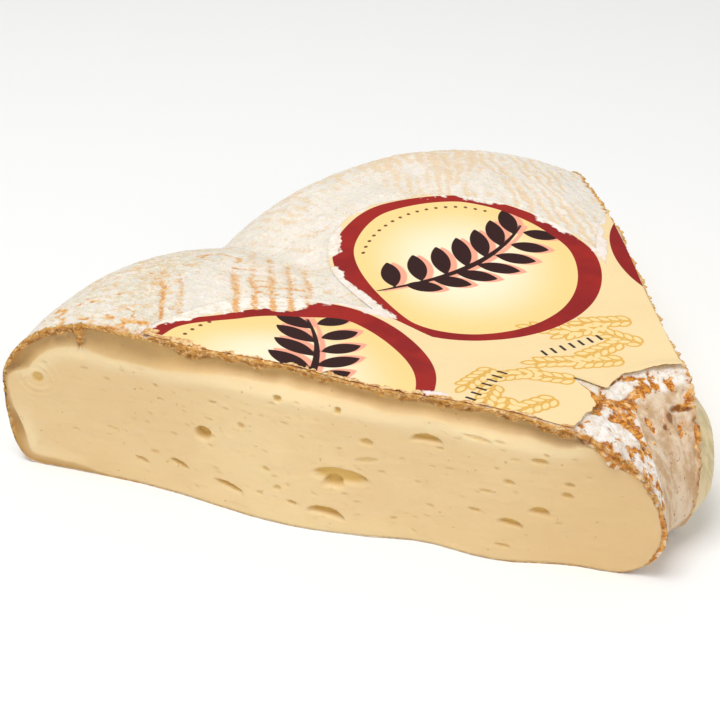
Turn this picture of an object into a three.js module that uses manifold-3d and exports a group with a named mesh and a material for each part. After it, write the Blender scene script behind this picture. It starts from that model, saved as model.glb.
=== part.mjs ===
// A wedge of a soft lobed cheese wheel with a white and orange rind, and the paper
// label that lies on its top. Millimetres and degrees, +Z is up, the table is z = 0.
// Both knife cuts run from the hole in the wheel's middle to its outer rim.
import * as THREE from 'three';
import Module from 'manifold-3d';

// The wheel: each lobe is an arc, given by the direction of its middle and its reach
const LOBES = [
  { azimuth: 150.2, reach: 146.6 },
  { azimuth: 111.9, reach: 149.9 },
  { azimuth: 68.9, reach: 153.5 },
];
const LOBE_CENTRE = 0.339;
const LOW_HEIGHT = 30.2;
const RIM_RISE = 7.4;
const RISE_START = 60;
const RISE_END = 125;
const VALLEY_DEPTH = 12.3;
const VALLEY_WIDTH = 8.2;
const VALLEY_SOFTNESS = 1.5;
const VALLEY_START = 70;

// The top curls up along the front cut, in one long hump
const FRONT_CURL = { middle: 62, reach: 44, height: 2.6, fade: 16 };

// The rim and the hole, both rounded above and below their widest line
const RIM_SHOULDER = 21.5;
const RIM_VALLEY_LOSS = 5.6;
const RIM_FOOT = 8;
const HOLE = { x: 5.3, y: 4, radius: 12.5 };
const HOLE_SHOULDER = 18;
const HOLE_FOOT = 9.5;
const HOLE_WAIST = 10;

// The two cuts: direction from the hole to the rim, and how far each passes the axis
const BACK_CUT = { azimuth: 94.7, offset: -1.6 };
const FRONT_CUT = { azimuth: 162.9, offset: -3.2 };

// The paste sags out of the cuts below the rind's edge, in humps along each cut
const FRONT_SAG = {
  humps: [
    { middle: 80, reach: 40, top: 1.4, foot: 4.5 },
    { middle: 41, reach: 17, top: 0.8, foot: 2.9 },
  ],
  full: 4.5,
  fade: 9,
  tuck: 0.7,
};
const BACK_SAG = {
  humps: [
    { middle: 26, reach: 26, top: 9, foot: -0.5 },
    { middle: 84, reach: 44, top: 2, foot: 2.6 },
  ],
  full: 10,
  fade: 4,
  tuck: 3,
};
const LIP_DEPTH = 4.2;
const LIP_DEPTH_AT_RIM = 6.2;
const COVE_DEPTH = 1.3;
const SAG_FADE = 7;
const TUCK_REACH = 13;

// Crags in the rind
const RIND_RUFFLE = 0.35;
const SHOULDER_CRAG = 0.9;

// Eyes in the front face: distance from the axis, height, width and height of the mouth
const EYES = [
  { r: 100.1, z: 16.5, wide: 3.4, high: 3 },
  { r: 84.1, z: 28, wide: 1.8, high: 1.4 },
  { r: 72.1, z: 27.4, wide: 1.6, high: 1.2 },
  { r: 105.9, z: 7.8, wide: 3.2, high: 1.2 },
  { r: 95, z: 5.8, wide: 5.2, high: 1.4 },
  { r: 71.2, z: 13, wide: 9.6, high: 2.4 },
  { r: 72.4, z: 11.4, wide: 4, high: 2.8 },
  { r: 74, z: 5.2, wide: 7, high: 2.2 },
  { r: 54.8, z: 24.2, wide: 5.4, high: 1.8 },
  { r: 33.1, z: 23.4, wide: 2.4, high: 1.2 },
  { r: 32.4, z: 12.2, wide: 3.4, high: 1.6 },
  { r: 37.6, z: 9.1, wide: 4.4, high: 1.2 },
];
const EYE_DEPTH = 2.2;

// The label: a paper ring with a petal for each lobe, laid from cut to cut
const PETAL_MIDDLE = 120.3;
const PETAL_HALF_ANGLE = 20.6;
const PETAL_NOTCH_RADIUS = 81;
const PETAL_RISE = 31;
const PETAL_LEAN = 3.5;
const LABEL_FRONT_RADIUS = 27.5;
const LABEL_BACK_RADIUS = 33.6;
const TEAR = { azimuth: 133.3, width: 2.6, depth: 7.6 };
const LABEL_THICKNESS = 0.4;
const LABEL_GAP = 0.35;
const LABEL_INSET = 0.9;

// How finely the solids are faceted
const SWEEP_STEPS = 40;
const COLUMNS = 38;
const ROWS = 12;
const LABEL_STEPS = 56;
const LABEL_COLUMNS = 10;

const radians = THREE.MathUtils.degToRad;
const { lerp, clamp } = THREE.MathUtils;

function smooth(value) {
  const t = clamp(value, 0, 1);
  return t * t * (3 - 2 * t);
}

// Quarter of a superellipse: 1 at t = 0, falling to 0 at t = 1
function quarter(t, power) {
  return (1 - clamp(t, 0, 1) ** power) ** (1 / power);
}

// Smooth noise between -1 and 1, the same on every run
function lattice(i, j, seed) {
  const n = Math.sin(i * 127.1 + j * 311.7 + seed * 74.7) * 43758.5453;
  return 2 * (n - Math.floor(n)) - 1;
}

function noise(x, y, seed) {
  const i = Math.floor(x);
  const j = Math.floor(y);
  const u = smooth(x - i);
  const v = smooth(y - j);
  const near = lerp(lattice(i, j, seed), lattice(i + 1, j, seed), u);
  const far = lerp(lattice(i, j + 1, seed), lattice(i + 1, j + 1, seed), u);
  return lerp(near, far, v);
}

// The wheel's outline in one direction, and 1 where two lobes meet, 0 along a lobe's middle
function outline(azimuth) {
  const reaches = LOBES.map((lobe) => {
    const turn = azimuth - radians(lobe.azimuth);
    const across = LOBE_CENTRE * Math.sin(turn);
    const arc = Math.sqrt((1 - LOBE_CENTRE) ** 2 - across ** 2);
    return lobe.reach * (LOBE_CENTRE * Math.cos(turn) + arc);
  });
  reaches.sort((a, b) => b - a);
  const lead = Math.hypot(reaches[0] - reaches[1], VALLEY_SOFTNESS) - VALLEY_SOFTNESS;
  return { radius: reaches[0], groove: Math.exp(-lead / VALLEY_WIDTH) };
}

// How far the top curls up beside the front cut
function curl(x, y, r) {
  const front = radians(FRONT_CUT.azimuth);
  const behind = FRONT_CUT.offset - y * Math.cos(front) + x * Math.sin(front);
  const along = smooth(1.6 * (1 - Math.abs(r - FRONT_CURL.middle) / FRONT_CURL.reach));
  return FRONT_CURL.height * along * Math.exp(-((behind / FRONT_CURL.fade) ** 2));
}

// Height of the whole wheel's top before its rim and hole are rounded
function crown(x, y) {
  const r = Math.hypot(x, y);
  const { radius, groove } = outline(Math.atan2(y, x));
  const dish = LOW_HEIGHT + RIM_RISE * smooth((r - RISE_START) / (RISE_END - RISE_START));
  const valley = VALLEY_DEPTH * groove * smooth((r - VALLEY_START) / (radius - VALLEY_START));
  return dish - valley + curl(x, y, r);
}

// A vertical half plane through the wheel: 0 is the back cut and 1 is the front cut
function sectionPlane(turn, inset = 0) {
  const azimuth = radians(lerp(BACK_CUT.azimuth, FRONT_CUT.azimuth, turn));
  const offset = lerp(BACK_CUT.offset + inset, FRONT_CUT.offset - inset, turn);
  const along = new THREE.Vector2(Math.cos(azimuth), Math.sin(azimuth));
  const across = new THREE.Vector2(-along.y, along.x);
  const at = (r) => new THREE.Vector2(r * along.x + offset * across.x, r * along.y + offset * across.y);
  return { azimuth, offset, along, across, at };
}

// Where a section starts at the hole and ends at the rim
function sectionSpan(plane) {
  const hole = new THREE.Vector2(HOLE.x, HOLE.y);
  const miss = plane.offset - hole.dot(plane.across);
  const inner = hole.dot(plane.along) + Math.sqrt(HOLE.radius ** 2 - miss ** 2);
  const rim = outline(plane.azimuth);
  return { inner, outer: Math.sqrt(rim.radius ** 2 - plane.offset ** 2), groove: rim.groove };
}

// Lowest and highest point of the cheese at one distance from the axis
function thickness(plane, span, r) {
  const { x, y } = plane.at(r);
  const top = crown(x, y);
  const shoulder = RIM_SHOULDER - RIM_VALLEY_LOSS * span.groove;
  const toRim = quarter((r - span.outer + shoulder) / shoulder, 1.85);
  const toHole = quarter((span.inner + HOLE_SHOULDER - r) / HOLE_SHOULDER, 1.8);
  const footRim = quarter((r - span.outer + RIM_FOOT) / RIM_FOOT, 3.5);
  const footHole = quarter((span.inner + HOLE_FOOT - r) / HOLE_FOOT, 1.8);
  const nearHole = r < (span.inner + span.outer) / 2;
  const waist = nearHole ? HOLE_WAIST : top / 2;
  const ruffle = RIND_RUFFLE * noise(x / 11, y / 11, 1) * toRim * toHole;
  const crag = SHOULDER_CRAG * noise(x / 6, y / 6, 2) * toHole * (1 - smooth((r - span.inner - 12) / 8));
  const bare = 1 - smooth((r - 22) / 6) + smooth((r - 119) / 5);
  return {
    high: waist + (top - waist) * (nearHole ? toHole : toRim) + (ruffle + crag) * bare,
    low: waist * (1 - (nearHole ? footHole : footRim)),
  };
}

// How far the paste stands out of a cut, or its edge lies back under the rind
function sag(shape, r, z, high, span) {
  const depth = high - z;
  const ends = smooth((r - span.inner) / shape.fade) * smooth((span.outer - r) / 9);
  const lip = lerp(LIP_DEPTH, LIP_DEPTH_AT_RIM, smooth((r - 92) / 16));
  const cove = COVE_DEPTH * Math.sin(Math.PI * clamp(depth / lip, 0, 1)) * smooth((r - 25) / 30);
  const bodies = shape.humps.map((hump) => {
    const share = smooth(1 - Math.abs(r - hump.middle) / hump.reach);
    return share * lerp(hump.top, hump.foot, clamp(depth / high, 0, 1));
  });
  const body = bodies.reduce((sum, one) => sum + one, 0);
  const tuck = shape.tuck * (1 - smooth((r - span.inner) / TUCK_REACH)) * smooth(1 - z / TUCK_REACH);
  return ends * (body * smooth((depth - 0.6 * lip) / shape.full) - cove) - tuck;
}

// A point of the solid, pushed out of the cuts where it is close to them
function cheesePoint(turn, plane, span, r, z, high) {
  const spread = radians(FRONT_CUT.azimuth - BACK_CUT.azimuth) * r;
  const nearFront = Math.exp(-((((1 - turn) * spread) / SAG_FADE) ** 2));
  const nearBack = Math.exp(-(((turn * spread) / SAG_FADE) ** 2));
  const out = nearFront * sag(FRONT_SAG, r, z, high, span) - nearBack * sag(BACK_SAG, r, z, high, span);
  const spot = plane.at(r).addScaledVector(plane.across, out);
  return [spot.x, spot.y, z];
}

// Collects the corners and triangles of one closed body
class Body {
  constructor() {
    this.points = [];
    this.faces = [];
  }

  point(xyz) {
    this.points.push(...xyz);
    return this.points.length / 3 - 1;
  }

  quad(a, b, c, d) {
    for (const [i, j, k] of [[a, b, c], [a, c, d]]) {
      if (i !== j && j !== k && k !== i) this.faces.push(i, j, k);
    }
  }
}

// Columns stand closer together where the section turns down at the rim and the hole
function columnRadius(span, column) {
  const even = column / COLUMNS;
  const eased = (1 - Math.cos(Math.PI * even)) / 2;
  return lerp(span.inner, span.outer, lerp(even, eased, 0.8));
}

// One section as columns of points: the first point is on the base and the last on top
function sectionColumns(body, step, rows) {
  const turn = step / SWEEP_STEPS;
  const plane = sectionPlane(turn);
  const span = sectionSpan(plane);
  const columns = [];
  for (let column = 0; column <= COLUMNS; column += 1) {
    const r = columnRadius(span, column);
    const { low, high } = thickness(plane, span, r);
    const tip = column === 0 || column === COLUMNS;
    const points = [];
    for (let row = 0; row <= (tip ? 0 : rows); row += 1) {
      const z = lerp(high, low, (1 - row / rows) ** 1.6);
      points.push(body.point(cheesePoint(turn, plane, span, r, tip ? low : z, high)));
    }
    columns.push(points);
  }
  return columns;
}

function cap(body, columns, facesFront) {
  for (let column = 0; column < COLUMNS; column += 1) {
    const left = columns[column];
    const right = columns[column + 1];
    for (let row = 0; row < ROWS; row += 1) {
      const corners = [[left, row], [left, row + 1], [right, row + 1], [right, row]];
      const [a, b, c, d] = corners.map(([points, at]) => points[Math.min(at, points.length - 1)]);
      if (facesFront) body.quad(a, b, c, d);
      else body.quad(a, d, c, b);
    }
  }
}

// Paste and rind as one solid, before its eyes are cut
function wedgeBody() {
  const body = new Body();
  const sections = [];
  for (let step = 0; step <= SWEEP_STEPS; step += 1) {
    const cut = step === 0 || step === SWEEP_STEPS;
    sections.push(sectionColumns(body, step, cut ? ROWS : 1));
  }
  for (let step = 0; step < SWEEP_STEPS; step += 1) {
    for (let column = 0; column < COLUMNS; column += 1) {
      const corner = (section, at, end) => sections[section][at].at(end);
      const ring = (end) => [
        corner(step, column, end),
        corner(step, column + 1, end),
        corner(step + 1, column + 1, end),
        corner(step + 1, column, end),
      ];
      body.quad(...ring(-1));
      body.quad(...ring(0).reverse());
    }
  }
  cap(body, sections[0], false);
  cap(body, sections[SWEEP_STEPS], true);
  return body;
}

function toGeometry(body) {
  const geometry = new THREE.BufferGeometry();
  geometry.setAttribute('position', new THREE.Float32BufferAttribute(body.points, 3));
  geometry.setIndex(body.faces);
  geometry.computeVertexNormals();
  return geometry;
}

// A rounded hollow that opens in the front face
function eyeBody(eye) {
  const plane = sectionPlane(1);
  const span = sectionSpan(plane);
  const { high } = thickness(plane, span, eye.r);
  const skin = sag(FRONT_SAG, eye.r, eye.z, high, span);
  const spot = plane.at(eye.r).addScaledVector(plane.across, skin);
  const ball = new THREE.SphereGeometry(1, 10, 6);
  const shape = new THREE.Matrix4().makeScale(eye.wide / 2, EYE_DEPTH, eye.high / 2);
  const turned = new THREE.Matrix4().makeRotationZ(plane.azimuth);
  const placed = new THREE.Matrix4().makeTranslation(spot.x, spot.y, eye.z);
  ball.applyMatrix4(placed.multiply(turned).multiply(shape));
  return ball;
}

// The same surface with shared corners, as the solid modeller wants it
function toManifold(wasm, geometry) {
  const position = geometry.getAttribute('position');
  const known = new Map();
  const corners = [];
  const merged = [];
  for (let i = 0; i < position.count; i += 1) {
    const xyz = [position.getX(i), position.getY(i), position.getZ(i)];
    const key = xyz.map((value) => value.toFixed(4)).join();
    if (!known.has(key)) {
      known.set(key, corners.length / 3);
      corners.push(...xyz);
    }
    merged.push(known.get(key));
  }
  const triangles = [];
  for (let i = 0; i < geometry.index.count; i += 3) {
    const [a, b, c] = [0, 1, 2].map((step) => merged[geometry.index.getX(i + step)]);
    if (a !== b && b !== c && c !== a) triangles.push(a, b, c);
  }
  const mesh = new wasm.Mesh({
    numProp: 3,
    vertProperties: new Float32Array(corners),
    triVerts: new Uint32Array(triangles),
  });
  return new wasm.Manifold(mesh);
}

function fromManifold(solid) {
  const mesh = solid.getMesh();
  const geometry = new THREE.BufferGeometry();
  geometry.setAttribute('position', new THREE.BufferAttribute(mesh.vertProperties, 3));
  geometry.setIndex(new THREE.BufferAttribute(mesh.triVerts, 1));
  geometry.computeVertexNormals();
  return geometry;
}

function cheeseGeometry(wasm) {
  const wedge = toManifold(wasm, toGeometry(wedgeBody()));
  const eyes = EYES.map((eye) => toManifold(wasm, eyeBody(eye)));
  return fromManifold(wasm.Manifold.difference([wedge, ...eyes]));
}

// The label's two edges: petals outside, and inside a line round the hole with one tear
function labelSpan(azimuth) {
  const degrees = THREE.MathUtils.radToDeg(azimuth);
  const turns = (degrees - PETAL_MIDDLE) / PETAL_HALF_ANGLE;
  const acrossPetal = turns - 2 * Math.round(turns / 2);
  const petal = PETAL_RISE * (1 - Math.abs(acrossPetal) ** 2.7);
  const tear = TEAR.depth * Math.exp(-(((degrees - TEAR.azimuth) / TEAR.width) ** 2));
  return {
    outer: PETAL_NOTCH_RADIUS + petal + PETAL_LEAN * Math.sin(Math.PI * acrossPetal),
    inner: lerp(LABEL_FRONT_RADIUS, LABEL_BACK_RADIUS, smooth((143 - degrees) / 30)) + tear,
  };
}

function labelGeometry() {
  const body = new Body();
  const sections = [];
  for (let step = 0; step <= LABEL_STEPS; step += 1) {
    const plane = sectionPlane(step / LABEL_STEPS, LABEL_INSET);
    const edges = labelSpan(plane.azimuth);
    const columns = [];
    for (let column = 0; column <= LABEL_COLUMNS; column += 1) {
      const r = lerp(edges.inner, edges.outer, column / LABEL_COLUMNS);
      const { x, y } = plane.at(r);
      const under = crown(x, y) + LABEL_GAP;
      columns.push([body.point([x, y, under]), body.point([x, y, under + LABEL_THICKNESS])]);
    }
    sections.push(columns);
  }
  for (let step = 0; step < LABEL_STEPS; step += 1) {
    const [here, next] = [sections[step], sections[step + 1]];
    for (let column = 0; column < LABEL_COLUMNS; column += 1) {
      const upper = [here[column], here[column + 1], next[column + 1], next[column]];
      body.quad(...upper.map((pair) => pair[1]));
      body.quad(...upper.map((pair) => pair[0]).reverse());
    }
    const last = LABEL_COLUMNS;
    body.quad(here[0][0], here[0][1], next[0][1], next[0][0]);
    body.quad(here[last][1], here[last][0], next[last][0], next[last][1]);
  }
  for (let column = 0; column < LABEL_COLUMNS; column += 1) {
    const [first, last] = [sections[0], sections[LABEL_STEPS]];
    body.quad(first[column][0], first[column + 1][0], first[column + 1][1], first[column][1]);
    body.quad(last[column][1], last[column + 1][1], last[column + 1][0], last[column][0]);
  }
  return toGeometry(body);
}

const wasm = await Module();
wasm.setup();

const cheese = new THREE.Mesh(
  cheeseGeometry(wasm),
  new THREE.MeshStandardMaterial({ color: 0xe9cf9a, roughness: 0.55, metalness: 0 }),
);
cheese.name = 'cheese';

const label = new THREE.Mesh(
  labelGeometry(),
  new THREE.MeshStandardMaterial({ color: 0xf3d99a, roughness: 0.6, metalness: 0 }),
);
label.name = 'label';

// The wedge stands with the middle of its outline over the origin
cheese.geometry.computeBoundingBox();
const middle = cheese.geometry.boundingBox.getCenter(new THREE.Vector3());
const wedge = new THREE.Group();
wedge.add(cheese, label);
wedge.position.set(-middle.x, -middle.y, 0);

const part = new THREE.Group();
part.add(wedge);

export default part;
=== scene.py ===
import math
from itertools import product

import bpy
import numpy as np
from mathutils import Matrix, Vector


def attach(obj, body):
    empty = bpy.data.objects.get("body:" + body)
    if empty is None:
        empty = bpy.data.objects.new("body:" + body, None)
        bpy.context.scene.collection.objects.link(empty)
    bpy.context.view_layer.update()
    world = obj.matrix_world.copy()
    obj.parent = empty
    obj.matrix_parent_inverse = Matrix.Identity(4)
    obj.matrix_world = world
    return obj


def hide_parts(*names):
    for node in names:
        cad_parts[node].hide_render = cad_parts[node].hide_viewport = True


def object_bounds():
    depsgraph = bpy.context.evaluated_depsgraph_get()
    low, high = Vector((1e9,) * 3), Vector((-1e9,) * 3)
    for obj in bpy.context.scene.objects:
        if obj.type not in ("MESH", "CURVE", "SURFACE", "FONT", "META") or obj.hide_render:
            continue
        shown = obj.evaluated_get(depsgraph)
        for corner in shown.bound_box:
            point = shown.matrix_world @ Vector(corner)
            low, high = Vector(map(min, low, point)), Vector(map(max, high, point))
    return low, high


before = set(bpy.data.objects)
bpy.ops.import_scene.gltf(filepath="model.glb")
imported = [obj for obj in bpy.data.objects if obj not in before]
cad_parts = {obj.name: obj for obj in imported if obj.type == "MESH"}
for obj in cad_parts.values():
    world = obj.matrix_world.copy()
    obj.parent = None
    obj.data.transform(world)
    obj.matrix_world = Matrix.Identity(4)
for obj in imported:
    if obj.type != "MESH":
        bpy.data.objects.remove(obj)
cad_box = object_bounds()

# Everything below is in millimetres round the wheel's axis, with the table at z = 0.
# AXIS is where that axis stands in the row frame.
AXIS = np.array([66.5081, -76.0085, 0.0])
MM = 0.001

# The wheel
LOBES = ((150.2, 146.6), (111.9, 149.9), (68.9, 153.5))
LOBE_CENTRE = 0.339
LOW_HEIGHT = 30.2
RIM_RISE = 7.4
RISE_START, RISE_END = 60, 125.0
VALLEY_DEPTH, VALLEY_WIDTH, VALLEY_SOFTNESS, VALLEY_START = 12.3, 8.2, 1.5, 70.0
CURL_MIDDLE, CURL_REACH, CURL_HEIGHT, CURL_FADE = 62, 44, 2.6, 16.0
RIM_SHOULDER, RIM_VALLEY_LOSS, RIM_FOOT = 21.5, 5.6, 8.0
HOLE_X, HOLE_Y, HOLE_RADIUS = 5.3, 4, 12.5
FAN_X, FAN_Y = -43.9, 61.3
HOLE_SHOULDER, HOLE_FOOT, HOLE_WAIST = 18, 9.5, 10.0

# The two cuts, as azimuth and offset from the axis
BACK_CUT = (94.7, -1.6)
FRONT_CUT = (162.9, -3.2)
SPREAD = math.radians(FRONT_CUT[0] - BACK_CUT[0])

# The paste's sag, as humps of (middle, reach, at the top, at the foot)
FRONT_HUMPS = ((80, 40, 1.4, 4.5), (41, 17, 0.8, 2.9))
BACK_HUMPS = ((26, 26, 9, -0.5), (84, 44, 2, 2.6))
# Each cut's sag: its humps, the depth where it is full, its fade at the hole, its tuck at the foot
FRONT_SAG = (FRONT_HUMPS, 4.5, 9, 0.7)
BACK_SAG = (BACK_HUMPS, 10, 4, 3)
SAG_FADE, RIM_FADE, TUCK_REACH = 7, 9, 13.0
BACK_LIP = 2.4

# The label
PETAL_MIDDLE, PETAL_HALF_ANGLE = 120.3, 20.6
PETAL_NOTCH_RADIUS, PETAL_RISE, PETAL_LEAN = 81, 31, 3.5
LABEL_FRONT_RADIUS, LABEL_BACK_RADIUS = 27.5, 33.6
TEAR_AZIMUTH, TEAR_WIDTH, TEAR_DEPTH = 133.3, 2.6, 7.6

# Mesh fineness
SLICES = 300
TOP_POINTS = 440
LOW_POINTS = 90
SECTION_SAMPLES = 1600
SLICE_CROWDING = 0.11
CUT_ROWS = 130
EDGE_MARGIN = np.array([0.02, 0.02, 0.0])


def smooth(value, start=0.0, end=1.0):
    t = np.clip((value - start) / (end - start), 0.0, 1.0)
    return t * t * (3 - 2 * t)


def bell(distance, width):
    return np.exp(-((distance / width) ** 2))


def lerp(a, b, t):
    return a + (b - a) * t


def turned(dx, dy, degrees):
    """An offset measured along a direction and across it."""
    c, s = math.cos(math.radians(degrees)), math.sin(math.radians(degrees))
    return dx * c + dy * s, dy * c - dx * s


def quarter(t, power):
    """Height of a rounded shoulder."""
    return (1 - np.clip(t, 0, 1) ** power) ** (1 / power)


# Seeded noise between about -1 and 1

def corner_value(i, j, k, seed):
    n = i.astype(np.int64) * 73856093 ^ j.astype(np.int64) * 19349663 ^ k.astype(np.int64) * 83492791
    n = (n ^ (seed * 2654435761)) & 0xFFFFFFFF
    n = ((n ^ (n >> 15)) * 2246822519) & 0xFFFFFFFF
    n = ((n ^ (n >> 13)) * 3266489917) & 0xFFFFFFFF
    return ((n ^ (n >> 16)) & 0xFFFFFF) / float(0x7FFFFF) - 1.0


def noise(x, y, z, seed):
    x, y, z = np.broadcast_arrays(x, y, z)
    i, j, k = np.floor(x), np.floor(y), np.floor(z)
    u, v, w = smooth(x - i), smooth(y - j), smooth(z - k)
    total = 0.0
    for di, dj, dk in product((0, 1), repeat=3):
        share = (u if di else 1 - u) * (v if dj else 1 - v) * (w if dk else 1 - w)
        total = total + share * corner_value(i + di, j + dj, k + dk, seed)
    return total


def layered(x, y, z, seed, layers=4):
    total, scale, reach = 0.0, 1.0, 0.0
    for layer in range(layers):
        total = total + scale * noise(x, y, z, seed + layer)
        reach += scale
        scale *= 0.55
        x, y, z = 2.03 * x + 3.7, 2.03 * y + 1.9, 2.03 * z + 5.3
    return total / reach * 1.6


def crumbs(x, y, z, seed):
    """Rounded grains, one to each unit cell: 1 at the middle and 0 between them."""
    i, j, k = np.floor(x), np.floor(y), np.floor(z)
    nearest = np.full(x.shape, 9.0)
    for di, dj, dk in product((-1, 0, 1), repeat=3):
        cell = (i + di, j + dj, k + dk)
        away = 0.0
        for axis, place in enumerate((x, y, z)):
            middle = cell[axis] + 0.5 + 0.4 * corner_value(*cell, seed + axis)
            away = away + (place - middle) ** 2
        nearest = np.minimum(nearest, away)
    return np.clip(1 - nearest / 0.6, 0, 1)


# The wheel's shape

def outline(azimuth):
    """The wheel's reach, and how deep in a valley that is, 0 to 1."""
    reaches = []
    for middle, reach in LOBES:
        turn = azimuth - math.radians(middle)
        arc = np.sqrt((1 - LOBE_CENTRE) ** 2 - (LOBE_CENTRE * np.sin(turn)) ** 2)
        reaches.append(reach * (LOBE_CENTRE * np.cos(turn) + arc))
    reaches = np.sort(np.stack(reaches), axis=0)
    lead = np.hypot(reaches[-1] - reaches[-2], VALLEY_SOFTNESS) - VALLEY_SOFTNESS
    return reaches[-1], np.exp(-lead / VALLEY_WIDTH)


def curl(x, y):
    """How far the top curls up beside the front cut."""
    front = math.radians(FRONT_CUT[0])
    behind = FRONT_CUT[1] - y * math.cos(front) + x * math.sin(front)
    along = smooth(1.6 * (1 - np.abs(np.hypot(x, y) - CURL_MIDDLE) / CURL_REACH))
    return CURL_HEIGHT * along * bell(behind, CURL_FADE)


def crown(x, y):
    """Height of the top, before its rims are rounded."""
    r = np.hypot(x, y)
    radius, groove = outline(np.arctan2(y, x))
    dish = LOW_HEIGHT + RIM_RISE * smooth(r, RISE_START, RISE_END)
    fall = np.clip((r - VALLEY_START) / (radius - VALLEY_START), 0, 1)
    return dish - VALLEY_DEPTH * groove * smooth(fall) + curl(x, y)


def plane(turn, inset=0.0):
    """A section's azimuth and offset, from the back cut at 0 to the front cut at 1."""
    azimuth = np.radians(lerp(BACK_CUT[0], FRONT_CUT[0], turn))
    offset = lerp(BACK_CUT[1] + inset, FRONT_CUT[1] - inset, turn)
    return azimuth, offset


def at(turn, r, out=0.0, inset=0.0):
    """Where a point lies that is moved out across its section."""
    azimuth, offset = plane(turn, inset)
    c, s = np.cos(azimuth), np.sin(azimuth)
    side = offset + out
    return r * c - side * s, r * s + side * c


def span(turn):
    """A section's start at the hole and end at the rim, and its valley."""
    azimuth, offset = plane(turn)
    c, s = np.cos(azimuth), np.sin(azimuth)
    miss = offset + HOLE_X * s - HOLE_Y * c
    inner = HOLE_X * c + HOLE_Y * s + np.sqrt(HOLE_RADIUS ** 2 - miss ** 2)
    radius, groove = outline(azimuth)
    return inner, np.sqrt(radius ** 2 - offset ** 2), groove


def thickness(turn, r):
    """Heights of a section's underside and top."""
    inner, outer, groove = span(turn)
    x, y = at(turn, r)
    top = crown(x, y)
    shoulder = RIM_SHOULDER - RIM_VALLEY_LOSS * groove
    near_hole = r < (inner + outer) / 2
    to_rim = quarter((r - outer + shoulder) / shoulder, 1.85)
    to_hole = quarter((inner + HOLE_SHOULDER - r) / HOLE_SHOULDER, 1.8)
    foot_rim = quarter((r - outer + RIM_FOOT) / RIM_FOOT, 3.5)
    foot_hole = quarter((inner + HOLE_FOOT - r) / HOLE_FOOT, 1.8)
    waist = np.where(near_hole, HOLE_WAIST, top / 2)
    high = waist + (top - waist) * np.where(near_hole, to_hole, to_rim)
    low = waist * (1 - np.where(near_hole, foot_hole, foot_rim))
    return low, high


def lip_depth(r):
    """How far below the rind's edge the paste begins on the front cut."""
    middle = 1.4 + 3.2 * smooth(r, 19, 32) - 0.7 * bell(r - 71, 9)
    return middle + 2.2 * smooth(r, 94, 110) - 2.2 * smooth(r, 120, 136)


def sag(r, z, high, turn, humps, full, fade, tuck, lip):
    """How far the soft paste bulges out of its cut."""
    inner, outer, _ = span(turn)
    depth = high - z
    ends = smooth((r - inner) / fade) * smooth((outer - r) / RIM_FADE)
    body = 0.0
    for middle, reach, top, foot in humps:
        share = smooth(1 - np.abs(r - middle) / reach)
        body = body + share * lerp(top, foot, np.clip(depth / high, 0, 1))
    tucked = tuck * (1 - smooth((r - inner) / TUCK_REACH)) * smooth(1 - z / TUCK_REACH)
    return ends * body * smooth((depth - 0.6 * lip) / full) - tucked


def push(turn, r, z, high):
    """How far the sag moves a point across its section, near either cut."""
    spread = SPREAD * r
    front = sag(r, z, high, 1.0, *FRONT_SAG, lip_depth(r))
    back = sag(r, z, high, 0.0, *BACK_SAG, BACK_LIP)
    return bell((1 - turn) * spread, SAG_FADE) * front - bell(turn * spread, SAG_FADE) * back


def label_edges(azimuth):
    degrees = np.degrees(azimuth)
    turns = (degrees - PETAL_MIDDLE) / PETAL_HALF_ANGLE
    across = turns - 2 * np.round(turns / 2)
    petal = PETAL_RISE * (1 - np.abs(across) ** 2.7)
    outer = PETAL_NOTCH_RADIUS + petal + PETAL_LEAN * np.sin(math.pi * across)
    tear = TEAR_DEPTH * bell(degrees - TEAR_AZIMUTH, TEAR_WIDTH)
    inner = lerp(LABEL_FRONT_RADIUS, LABEL_BACK_RADIUS, smooth((143 - degrees) / 30)) + tear
    return inner, outer


# Eyes and pits of the cut faces, as (r, z, half width, half height, tilt, bend, depth)
FRONT_EYES = (
    (100.1, 16.5, 1.7, 1.5, -12, 0, 2.2), (84.1, 28, 0.8, 0.7, 0, 0, 1),
    (72.1, 27.4, 0.6, 0.7, 0, 0, 0.9), (91.7, 20.4, 0.7, 0.7, 0, 0, 0.6),
    (114.5, 6.4, 1.5, 0.45, 14, 0.1, 0.7), (105.9, 7.8, 2, 0.6, 16, 0.2, 1.1),
    (94.8, 5.8, 3, 0.65, 12, 0.2, 1.2), (81, 5.5, 0.9, 0.5, 10, 0.2, 0.7),
    (71.2, 13.4, 5.4, 1.5, 3, 0.25, 1.1), (72.6, 11.8, 1.9, 1.3, 0, 0.3, 2.2),
    (74, 4.8, 3.6, 0.95, 8, 0.8, 1.6), (54.8, 24.2, 2.8, 0.85, -2, 0.5, 1.4),
    (45.1, 26.4, 2.8, 0.45, 6, 0.3, 0.4), (66.3, 21.6, 1.3, 0.7, 8, 0.3, 0.7),
    (66.1, 17.7, 2.2, 0.5, -8, 0.2, 0.4), (33.1, 23.4, 1.5, 0.6, 5, 0.2, 0.7),
    (38.5, 18.1, 1, 0.5, 0, 0.4, 0.6), (42.6, 15.3, 1.3, 0.35, 0, 0.1, 0.4),
    (27.4, 18.7, 0.9, 0.5, 0, 0.2, 0.6), (27.6, 16.3, 1.1, 0.6, 10, 0.3, 0.7),
    (44.7, 10.6, 1.2, 0.4, 0, 0.2, 0.5), (32.4, 12.2, 1.8, 0.8, 8, 0.5, 1.1),
    (37.6, 9.1, 2.3, 0.7, 10, 0.6, 1.1), (38.9, 3.7, 1.4, 0.4, 8, 0.2, 0.5),
    (86.5, 12, 0.9, 0.4, 8, 0.2, 0.5), (84, 8.2, 0.8, 0.5, 0, 0.1, 0.5),
)


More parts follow.
